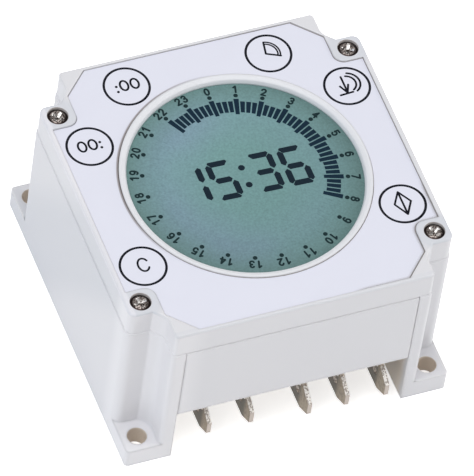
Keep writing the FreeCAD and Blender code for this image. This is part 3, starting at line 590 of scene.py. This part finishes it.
# %% Make a piece
def make_piece(name, parts, material, body="case", smooth=False):
    """One mesh object from several (points, faces) pairs, each with its own point numbers."""
    points, faces, first = [], [], 0
    for part_points, part_faces in parts:
        points.append(np.asarray(part_points, float).reshape(-1, 3))
        faces += [tuple(int(i) + first for i in face) for face in part_faces]
        first += len(points[-1])
    mesh = bpy.data.meshes.new(name)
    mesh.from_pydata((np.concatenate(points) * MM).tolist(), [], faces)
    mesh.materials.append(material)
    mesh.polygons.foreach_set("use_smooth", np.full(len(mesh.polygons), smooth))
    mesh.update()
    piece = bpy.data.objects.new(name, mesh)
    bpy.context.scene.collection.objects.link(piece)
    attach(piece, body)
    return piece


print("piece helper ready")

# %% [markdown]
# ## Flat plates and strokes
# Print is modelled as what it is, a film with a thickness of a few hundredths of a millimetre. Two
# shapes are enough. A plate is a closed outline pulled up from one height to another: dots, bars and
# display segments. A stroke is a line of even width with round ends, as a pen draws it.

# %% Plates
def plates(outlines, low, high):
    """Prisms from an array of outlines (count, corners, 2) that turn anticlockwise. Each outline is
    taken at the heights low and high and closed by a wall between them."""
    outlines = np.asarray(outlines, float)
    count, corners, _ = outlines.shape
    points = np.empty((count, 2, corners, 3))
    points[..., :2] = outlines[:, None]
    points[:, 0, :, 2], points[:, 1, :, 2] = low, high
    ring = np.arange(corners)
    ahead = (ring + 1) % corners
    walls = np.stack([ring, ahead, ahead + corners, ring + corners], 1)
    faces = []
    for first in range(0, count * 2 * corners, 2 * corners):
        faces += (walls + first).tolist()
        faces += [(ring[::-1] + first).tolist(), (ring + corners + first).tolist()]
    return points, faces


def discs(centres, radius, low, high, corners=24):
    """Round dots: plates whose outline is radius times (cosine, sine) of an even turn."""
    turn = np.arange(corners) * 2 * np.pi / corners
    circle = radius * np.stack([np.cos(turn), np.sin(turn)], 1)
    return plates(np.asarray(centres, float)[:, None] + circle, low, high)


print("plate helpers ready")

# %% Strokes
def stroke(line, width, low, high, closed=False):
    """A ribbon of even width along a line of points. Its sides are the line plus and minus half the
    width along the line's own normal. Past each end the half width shrinks as the root of one minus
    the square of the overshoot, which draws a half circle."""
    line = np.asarray(line, float)
    if closed:
        along = np.roll(line, -1, 0) - np.roll(line, 1, 0)
    else:
        along = np.gradient(line, axis=0)
    along /= np.linalg.norm(along, axis=1)[:, None]
    half = np.full(len(line), width / 2)
    if not closed:
        over = np.radians([18, 36, 54, 72, 86])
        reach, shrink = np.sin(over)[:, None] * width / 2, np.cos(over) * width / 2
        line = np.concatenate([(line[0] - along[0] * reach)[::-1], line, line[-1] + along[-1] * reach])
        along = np.concatenate([np.repeat(along[:1], 5, 0), along, np.repeat(along[-1:], 5, 0)])
        half = np.concatenate([shrink[::-1], half, shrink])
    normal = np.stack([-along[:, 1], along[:, 0]], 1)
    left, right = line + normal * half[:, None], line - normal * half[:, None]
    points = np.empty((len(line), 4, 3))
    points[:, 0, :2], points[:, 1, :2], points[:, 2, :2], points[:, 3, :2] = left, right, right, left
    points[:, :2, 2], points[:, 2:, 2] = low, high
    count = len(line)
    here = np.arange(count if closed else count - 1)
    ahead = (here + 1) % count
    faces = []
    for side in range(4):
        nearby = (side + 1) % 4
        quads = [here * 4 + side, ahead * 4 + side, ahead * 4 + nearby, here * 4 + nearby]
        faces += np.stack(quads, 1).tolist()
    if not closed:
        faces += [[0, 1, 2, 3], [count * 4 - 1, count * 4 - 2, count * 4 - 3, count * 4 - 4]]
    return points, faces


def arc(x, y, across, up, start, end, count=15):
    """Points of an ellipse arc: (x + across * cos t, y + up * sin t), t in degrees from start to end."""
    t = np.radians(np.linspace(start, end, count))
    return np.stack([x + across * np.cos(t), y + up * np.sin(t)], 1)


print("stroke helper ready")

# %% [markdown]
# ## The display's field
# The glass sits a little askew in its window, so everything on it is laid out square first and then
# turned and moved by one function. Angles on the dial run clockwise from the top, as on a clock.

# %% Layout on the glass
DIAL_MIDDLE = np.array([0.134, 0.212])
DIAL_TURN = math.radians(-1.5)
DIAL_X_AXIS = np.array([math.cos(DIAL_TURN), math.sin(DIAL_TURN)])
DIAL_Y_AXIS = np.array([0.0, 1.0])
LAYER = 0.015            # thickness of a printed or switched layer
LIFT = 0.002             # gap under it, so that no two faces share a plane
OVERLAP = 0.003          # each stroke of a figure stands this much above the one before
glass_low = display_top + LIFT
glass_high = glass_low + LAYER


def on_glass(points):
    """Square layout to its place: x and y times the two axes of the glass, plus its middle."""
    points = np.asarray(points, float)
    return points[..., :1] * DIAL_X_AXIS + points[..., 1:] * DIAL_Y_AXIS + DIAL_MIDDLE


def round_dial(points, degrees):
    """Points drawn upright at the top of the dial, carried clockwise round it."""
    turn = np.radians(np.asarray(degrees, float))
    points = np.asarray(points, float)
    x, y = points[..., 0], points[..., 1]
    return np.stack([x * np.cos(turn) + y * np.sin(turn), y * np.cos(turn) - x * np.sin(turn)], -1)


print("dial centre", DIAL_MIDDLE.tolist(), "mm")

# %% [markdown]
# Round the dial stand 24 dots, one for each hour, and 96 bars, one for each quarter of an hour. The
# bars between ten in the evening and eight in the morning are switched on. The others can just be
# made out, as on any such display.

# %% Hour dots and quarter-hour bars
HOUR_TURN, QUARTER_TURN = 15.0, 3.75     # degrees of the dial
DOT_CIRCLE, DOT_RADIUS = 17.95, 0.41     # mm
SHORT_BAR, LONG_BAR = (14.2, 16.65), (13.75, 17.2)   # radii of a bar's two ends, long on the hour
SHORT_BAR_GAP, LONG_BAR_GAP = 0.24, 0.2
SWITCH_ON, SWITCH_OFF = 22, 8            # the hours between which the bars are lit

hours = np.arange(24)
dot_places = on_glass(round_dial(np.tile([0.0, DOT_CIRCLE], (len(hours), 1)), hours * HOUR_TURN))
make_piece("dial_hour_dots", [discs(dot_places, DOT_RADIUS, glass_low, glass_high)], dial_ink)


def bars(which, ends, gap):
    """Radial bars: at each radius as wide as its share of the circle, 2 pi r / 96, less the gap."""
    inner, outer = ends
    near, far = (math.pi * r / len(quarters) - gap / 2 for r in ends)
    outline = np.array([[-near, inner], [near, inner], [far, outer], [-far, outer]])
    turned = round_dial(np.tile(outline, (len(which), 1, 1)), (which * QUARTER_TURN)[:, None])
    return plates(on_glass(turned), glass_low, glass_high)


quarters = np.arange(4 * len(hours))
is_on = (quarters >= 4 * SWITCH_ON) | (quarters <= 4 * SWITCH_OFF)
is_hour = quarters % 4 == 0
for name, state, material in (("dial_bars_on", is_on, bar_on), ("dial_bars_off", ~is_on, segment_off)):
    make_piece(name, [bars(quarters[state & ~is_hour], SHORT_BAR, SHORT_BAR_GAP),
                      bars(quarters[state & is_hour], LONG_BAR, LONG_BAR_GAP)], material)
print("bars on:", int(is_on.sum()), "off:", int((~is_on).sum()))

# %% [markdown]
# ## Figures of the dial
# The hours 0 to 23 are printed round the rim in a plain upright face. Each figure is a few strokes of
# an even pen: ellipse arcs and straight runs in a box 0.75 wide and 1.35 high between pen centres.

# %% A plain pen alphabet
FIGURES = {
    "0": [arc(0, 0, 0.36, 0.67, 0, 345, 24)],
    "1": [[(-0.27, 0.36), (0.08, 0.67)], [(0.1, 0.67), (0.1, -0.67)]],
    "2": [np.concatenate([arc(0, 0.3, 0.35, 0.37, 165, -35), [(-0.36, -0.67)]]),
          [(-0.36, -0.67), (0.37, -0.67)]],
    "3": [arc(0, 0.33, 0.32, 0.34, 155, -90), arc(0, -0.3, 0.36, 0.37, 90, -155)],
    "4": [[(0.16, 0.67), (-0.38, -0.25)], [(-0.38, -0.27), (0.4, -0.27)], [(0.16, 0.67), (0.16, -0.67)]],
    "5": [[(0.3, 0.67), (-0.26, 0.67)], [(-0.26, 0.67), (-0.33, 0.06)],
          arc(0, -0.24, 0.37, 0.43, 140, -150)],
    "6": [arc(0, -0.26, 0.36, 0.41, 0, 345, 22), arc(0.06, -0.1, 0.42, 0.77, 55, 190)],
    "7": [[(-0.36, 0.67), (0.36, 0.67)], [(0.36, 0.67), (-0.1, -0.67)]],
    "8": [arc(0, 0.33, 0.3, 0.34, 0, 345, 20), arc(0, -0.3, 0.36, 0.37, 0, 345, 22)],
    "9": [arc(0, 0.26, 0.36, 0.41, 0, 345, 22), arc(-0.06, 0.1, 0.42, 0.77, 235, 370)],
}
CLOSED = {("0", 0), ("6", 0), ("8", 0), ("8", 1), ("9", 0)}     # figure and number of the line


def figure_lines(figure):
    """The pen lines of one figure, each with a flag that says whether it closes on itself."""
    return [(np.asarray(line, float), (figure, i) in CLOSED) for i, line in enumerate(FIGURES[figure])]


print("figures:", "".join(FIGURES))

# %% Print the hours
FIGURE_CIRCLE, FIGURE_PITCH, FIGURE_PEN = 19.35, 1.3, 0.35     # mm


def hour_strokes():
    """Each hour's figures side by side, one pitch apart, on their own circle with the tops outwards."""
    made = []
    for hour in hours:
        name = str(hour)
        for i, figure in enumerate(name):
            shift = np.array([(i - (len(name) - 1) / 2) * FIGURE_PITCH, FIGURE_CIRCLE])
            for layer, (line, closed) in enumerate(figure_lines(figure)):
                place = on_glass(round_dial(line + shift, hour * HOUR_TURN))
                made.append(stroke(place, FIGURE_PEN, glass_low, glass_high + layer * OVERLAP, closed))
    return made


make_piece("dial_hour_figures", hour_strokes(), dial_ink)
print("hours printed:", len(hours))

# %% [markdown]
# ## The time
# Four figures of seven segments show the time. Neighbouring segments are cut at a slant with a hair
# of light between them, and the outer corners are cut off. One corner of each shape is enough: the
# others are its mirror images in the figure's box.

# %% Seven segments
BOX_W, BOX_H = 4.69, 8.54
TOP_BAR = np.array([(0.52, 0.36), (0.76, 0), (BOX_W - 0.76, 0), (BOX_W - 0.52, 0.36),
                    (BOX_W - 1.15, 1.15), (1.15, 1.15)])
MIDDLE_BAR = np.array([(0.76, 4.27), (1.18, 3.69), (BOX_W - 1.18, 3.69), (BOX_W - 0.76, 4.27),
                       (BOX_W - 1.18, 4.85), (1.18, 4.85)])
UPPER_LEFT = np.array([(0, 0.98), (0.48, 0.58), (1.13, 1.16), (1.13, 3.3), (0.6, 3.9), (0, 3.38)])


def seven_segments():
    """Outlines of the segments a to g, from the top clockwise and the middle last, y downwards."""
    over = np.array([1, -1]), np.array([0, BOX_H])
    across = np.array([-1, 1]), np.array([BOX_W, 0])
    upper_right = UPPER_LEFT * across[0] + across[1]
    return {
        "a": TOP_BAR, "b": upper_right, "c": upper_right * over[0] + over[1],
        "d": TOP_BAR * over[0] + over[1], "e": UPPER_LEFT * over[0] + over[1], "f": UPPER_LEFT,
        "g": MIDDLE_BAR,
    }


LIT = {"1": "bc", "5": "afgcd", "3": "abgcd", "6": "afgecd"}
print("segments:", "".join(seven_segments()))

# %% Show the time
TIME = "1536"
BOX_LEFTS = (-11.73, -6.21, 1.43, 7.02)  # mm from the dial's middle
BOX_RAISED, ROW_SLOPE = 0.08, -0.008
COLON, COLON_RADIUS = [(0.0, 1.9), (0.0, -1.95)], 0.6


def time_outlines(figures, lefts):
    """All lit segments. Each box hangs from half its height above the dial's middle, and the whole
    row leans by a small slope, as the dial's own axes do."""
    shapes = seven_segments()
    made = []
    for figure, left in zip(figures, lefts):
        for name in LIT[figure]:
            outline = shapes[name] * [1, -1] + [left, BOX_H / 2 + BOX_RAISED]
            x, y = outline.T
            anticlockwise = np.sum(x * np.roll(y, -1) - y * np.roll(x, -1)) > 0
            outline = outline if anticlockwise else outline[::-1]
            made.append(outline + np.stack([np.zeros(len(outline)), ROW_SLOPE * outline[:, 0]], 1))
    return on_glass(made)


lit_segments = plates(time_outlines(TIME, BOX_LEFTS), glass_low, glass_high)
colon_dots = discs(on_glass(COLON), COLON_RADIUS, glass_low, glass_high)
make_piece("time_figures", [lit_segments], digit_on)
make_piece("time_colon", [colon_dots], digit_on)
print("time shown:", TIME)

# %% [markdown]
# ## Rings round the keys
# A line 0.4 mm wide is printed round each key. On the real foil it runs over the edge of the key's
# dome. Here it is printed partly on the key's round, which sinks when it is pressed, and partly on
# the foil round it, so each part rides on its own body.

# %% Key rings
KEY_NAMES = ("hours", "minutes", "sector", "arrow", "diamond", "clear")
RING_ON_KEY, RING_ON_FOIL = (3.83, 4.03), (4.05, 4.26)     # mm, inner and outer radius
ink_low = foil_top + LIFT
ink_high = ink_low + LAYER
key_middles = {name: np.array(middle_of("key_pad_" + name)[:2]) for name in KEY_NAMES}


def ring(name, inner, outer):
    """A closed stroke along a circle midway between two radii, round a key's middle."""
    x, y = key_middles[name]
    radius = (inner + outer) / 2
    return stroke(arc(x, y, radius, radius, 0, 357, 120), outer - inner, ink_low, ink_high, closed=True)


for name in KEY_NAMES:
    make_piece("key_ring_" + name, [ring(name, *RING_ON_KEY)], key_ink, "key_" + name)
make_piece("key_rings_on_foil", [ring(name, *RING_ON_FOIL) for name in KEY_NAMES], key_ink)
print("rings:", len(KEY_NAMES))

# %% [markdown]
# ## Signs on the keys
# Each key carries a generic sign: hours and minutes as zeros with a colon, a sector, an arrow that
# points down to a line with two arcs, a diamond, and the letter C that clears an entry. They are
# drawn with the same pen as the figures, in millimetres from the middle of the key.

# %% Key signs
def zeros(places):
    """Round zeros 1.7 wide and 2.4 high, drawn on the pen's middle line."""
    return [(arc(x, y, 0.71, 1.06, 0, 352, 40), True, 0.38) for x, y in places]


DIAMOND = [(0.08, 2.65), (-1.42, 0.22), (0.08, -2.35), (1.62, 0.2)]
SIGNS = {                # each line with its points, whether it closes on itself, and the pen's width
    "hours": zeros([(-1.3, 0.27), (0.65, 0.26)]),
    "minutes": zeros([(-0.37, 0.32), (1.58, 0.27)]),
    "sector": [
        ([(-0.46, 0.05), (-0.02, 2.55)], False, 0.36),
        ([(-0.46, 0.05), (1.98, -1.07)], False, 0.36),
        (arc(-0.46, 0.05, 2.6, 2.6, 80, -24, 24), False, 0.28),
        (arc(-0.46, 0.05, 2.15, 2.15, 79, -23, 24), False, 0.28),
    ],
    "arrow": [
        ([(-0.39, 2.2), (-0.39, -1.4)], False, 0.37),
        ([(-1.25, 0.25), (-0.42, -1.4)], False, 0.37),
        ([(0.3, 0.25), (-0.42, -1.4)], False, 0.37),
        ([(-1.8, -1.65), (0.6, -1.5)], False, 0.37),
        (arc(0.05, 0.45, 1.74, 1.74, 77, -62, 24), False, 0.36),
        (arc(0.26, 0.5, 2.3, 2.3, 74, -60, 24), False, 0.36),
    ],
    "diamond": [([near, far], False, 0.35) for near, far in zip(DIAMOND, DIAMOND[1:] + DIAMOND[:1])]
               + [([(0.08, 2.4), (0.08, -2.1)], False, 0.35)],
    "clear": [(arc(0.15, 0.26, 0.97, 1.37, 32, 328, 30), False, 0.36)],
}
SIGN_COLONS = {"hours": [(2.03, 0.44), (2.0, -0.73)], "minutes": [(-1.81, 0.41), (-1.83, -0.75)]}
SIGN_DOT_RADIUS = 0.25

for name, middle in key_middles.items():
    drawn = [stroke(np.asarray(line) + middle, width, ink_low, ink_high + layer * OVERLAP, closed)
             for layer, (line, closed, width) in enumerate(SIGNS[name])]
    if name in SIGN_COLONS:
        drawn.append(discs(np.asarray(SIGN_COLONS[name]) + middle, SIGN_DOT_RADIUS, ink_low, ink_high))
    make_piece("key_sign_" + name, drawn, key_ink, "key_" + name)
print("signs:", sorted(SIGNS))

# %% [markdown]
# ## Screws
# A screw is one surface of revolution with a cross pressed into it. Its profile starts at the top of
# the dome, runs over the flank and the underside and ends at the tip of the shank. The recess is
# taken off the height of the dome: two crossed grooves, each deepest in the middle and running out
# towards its ends.

# %% Screw surface
HEAD_RADIUS, HEAD_HEIGHT = 1.8, 1.2
DOME = 0.42              # the dome's fall from its middle to its edge
GROOVE_DEPTH, GROOVE_REACH, GROOVE_HALF_WIDTH, GROOVE_LEAN = 0.75, 1.2, 0.34, 0.1


def screw_points(x, y, top, seat, tip, turn, around=96):
    """Rings round (x, y): (x + r cos t, y + r sin t, z). On the dome z is the top less the dome's
    fall times (r / R) cubed, less the recess; then the profile runs down the flank and the shank."""
    dome_r = np.concatenate([np.linspace(0.02, 1.3, 34), np.linspace(1.34, HEAD_RADIUS, 14)])
    dome_z = top - DOME * (dome_r / HEAD_RADIUS) ** 3
    below_r = np.array([HEAD_RADIUS, HEAD_RADIUS, 1.1, 1.1, 1.0, 0.45, 0.02])
    below_z = np.array([seat + 0.3, seat, seat, tip + 1.0, tip + 0.6, tip + 0.1, tip])
    r = np.concatenate([dome_r, below_r])[:, None]
    z = np.concatenate([dome_z, below_z])[:, None]
    t = np.linspace(0, 2 * np.pi, around, endpoint=False)[None, :]
    px, py = r * np.cos(t), r * np.sin(t)
    along = px * math.cos(turn) + py * math.sin(turn)
    across = py * math.cos(turn) - px * math.sin(turn)
    depth = np.maximum(groove(along, across), groove(across, along))
    depth[len(dome_r):] = 0
    return np.stack([px + x, py + y, np.broadcast_to(z, px.shape) - depth], -1)


def groove(along, across):
    """Depth of one groove: full in the middle, falling along a parabola to nothing at its reach, with
    walls that lean over a tenth of a millimetre."""
    floor = GROOVE_DEPTH * np.clip(1 - (np.abs(along) / GROOVE_REACH) ** 2, 0, 1)
    wall = np.clip((GROOVE_HALF_WIDTH - np.abs(across)) / GROOVE_LEAN, 0, 1)
    return floor * wall


def grid_faces(rings, around):
    """Quads between neighbouring rings, and a flat cap on the first and last ring."""
    i, j = np.meshgrid(np.arange(rings - 1), np.arange(around), indexing="ij")
    k = (j + 1) % around
    quads = np.stack([i * around + j, (i + 1) * around + j, (i + 1) * around + k, i * around + k], -1)
    cap = np.arange(around)
    caps = [cap.tolist(), (cap[::-1] + (rings - 1) * around).tolist()]
    return quads.reshape(-1, 4).tolist() + caps


SCREW_TURNS = {"front_left": 12, "front_right": 25, "rear_left": 40, "rear_right": 62}     # degrees

for node, turn in SCREW_TURNS.items():
    low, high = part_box("cover_screw_" + node)
    middle, top = middle_of("cover_screw_" + node), high.z / MM
    points = screw_points(*middle[:2], top, top - HEAD_HEIGHT, low.z / MM, math.radians(turn))
    material = screw_finish("nickel_plated_screw_" + node, middle, top)
    screw = make_piece("screw_" + node, [(points, grid_faces(*points.shape[:2]))], material,
                       smooth=True)
    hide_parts("cover_screw_" + node)
print("screws replaced:", len(SCREW_TURNS))

# %% [markdown]
# ## Floor
# The product stands on a plain white floor. For the camera, and for what metal and glass mirror, the
# floor gives off a little white of its own, so that it reads as white paper, while the object's
# shadow still falls on it.

# %% Floor
FLOOR_GLOW = 0.62
FLOOR_REACH = 4                          # metres from the middle to each side


def floor_finish():
    """White paper: a matt shader, with a little emission seen only by camera and mirror rays."""
    material, tree, shader, place = finish("white_paper_sweep", "#F4F4F4", Roughness=0.9,
                                           Emission_Color=(1, 1, 1, 1))
    fibre = add(tree, "TexNoise", {"Scale": 1 / (2 * MM), "Vector": place}, "Fac")
    rays = add(tree, "LightPath").outputs
    seen = add(tree, "Math", {"operation": "MAXIMUM", 0: rays["Is Camera Ray"], 1: rays["Is Glossy Ray"]},
               "Value")
    glow = add(tree, "Math", {"operation": "MULTIPLY", 0: seen, 1: FLOOR_GLOW}, "Value")
    join(tree, shader, Base_Color=painted(tree, "#F6F6F6", ("#F3F3F3", fibre)), Emission_Strength=glow)
    return material


floor_corners = np.array([(-1, -1, 0), (1, -1, 0), (1, 1, 0), (-1, 1, 0)]) * FLOOR_REACH
floor_mesh = bpy.data.meshes.new("floor")
floor_mesh.from_pydata(floor_corners.tolist(), [], [(0, 1, 2, 3)])
floor_mesh.materials.append(floor_finish())
floor = bpy.data.objects.new("floor", floor_mesh)
bpy.context.scene.collection.objects.link(floor)
floor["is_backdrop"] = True
print("floor, m:", 2 * FLOOR_REACH, "square")

# %% [markdown]
# ## Light
# The product stands in a bright tent: soft white from all sides, two broad lamps above, one at each
# side and a weak one behind. The left lamp is a little cooler, as daylight from a window is. Together
# they light a level face so that its colour renders about as it is written. The world looks white to
# the camera.

# %% World and lamps
WORLD_LEVEL = 0.38
LAMP_SIZE, LAMP_DISTANCE = 0.9, 1.4      # metres
LIT_POINT = Vector((0, 0, 20)) * MM


def make_world(level):
    """Even white light of a given level. Camera and transmission rays see plain white."""
    world = bpy.data.worlds.new("tent")
    bpy.context.scene.world = world
    world.use_nodes = True
    tree = world.node_tree
    tree.nodes.clear()
    rays = add(tree, "LightPath").outputs
    seen = add(tree, "Math", {"operation": "MAXIMUM", 0: rays["Is Camera Ray"],
                              1: rays["Is Transmission Ray"]}, "Value")
    light, white = (add(tree, "Background", {"Color": (1, 1, 1, 1), "Strength": strength}, "Background")
                    for strength in (level, 1.0))
    add(tree, "OutputWorld", {"Surface": add(tree, "MixShader", {0: seen, 1: light, 2: white}, "Shader")})


def lamp(name, direction, level, tint=(1.0, 1.0, 1.0)):
    """A square area lamp that looks at the object's middle from a direction. Its power is level * pi
    squared * distance squared, which gives a white face that looks at it the brightness level."""
    data = bpy.data.lights.new(name, "AREA")
    data.shape, data.size, data.color = "SQUARE", LAMP_SIZE, tint
    data.energy = level * math.pi ** 2 * LAMP_DISTANCE ** 2
    made = bpy.data.objects.new(name, data)
    towards = Vector(direction).normalized()
    made.location = towards * LAMP_DISTANCE + LIT_POINT
    made.rotation_euler = towards.to_track_quat("Z", "Y").to_euler()
    bpy.context.scene.collection.objects.link(made)
    return made


make_world(WORLD_LEVEL)
lamps = [
    lamp("lamp_above", (0, 0, 1), 0.30),
    lamp("lamp_above_left", (-0.6, -0.3, 1), 0.26),
    lamp("lamp_left", (-1, -0.1, 0.35), 0.13, (0.80, 0.96, 1.17)),
    lamp("lamp_right", (1, -0.4, 0.4), 0.37),
    lamp("lamp_behind", (0.2, 1, 0.5), 0.08),
]
print("lamps, W:", [round(made.data.energy, 2) for made in lamps])

# %% [markdown]
# ## Camera
# A long lens looks down on the object from its front left, turned a little about its own axis. The
# three angles and the distance are written as they would be read off a tripod: azimuth round the
# object, elevation above the table, roll, and the point looked at.

# %% Camera
AZIMUTH, ELEVATION, ROLL = (math.radians(v) for v in (-27.9855, 52.3799, 9.3211))
DISTANCE = 1.4132                                   # metres
LOOK_AT = Vector((1.97, 2.98, 12.0)) * MM
SENSOR, FOCAL_LENGTH = 36, 605.0                    # mm

back = Vector((math.sin(AZIMUTH) * math.cos(ELEVATION), -math.cos(AZIMUTH) * math.cos(ELEVATION),
               math.sin(ELEVATION)))
right = Vector((math.cos(AZIMUTH), math.sin(AZIMUTH), 0))
up = back.cross(right)
rolled_right = right * math.cos(ROLL) + up * math.sin(ROLL)
rolled_up = up * math.cos(ROLL) - right * math.sin(ROLL)

camera_data = bpy.data.cameras.new("camera")
camera_data.sensor_width, camera_data.lens = SENSOR, FOCAL_LENGTH
camera_data.clip_start, camera_data.clip_end = 0.1, 20
camera = bpy.data.objects.new("camera", camera_data)
turned = Matrix((rolled_right, rolled_up, back)).transposed().to_4x4()
camera.matrix_world = Matrix.Translation(LOOK_AT + back * DISTANCE) @ turned
bpy.context.scene.collection.objects.link(camera)
bpy.context.scene.camera = camera
bpy.context.scene.view_settings.view_transform = "Standard"
print("camera at", [round(v, 3) for v in camera.location])

# %% Sizes and finish
low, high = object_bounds()
print("box in mm:", [round(v / MM, 2) for v in (*low, *high)])
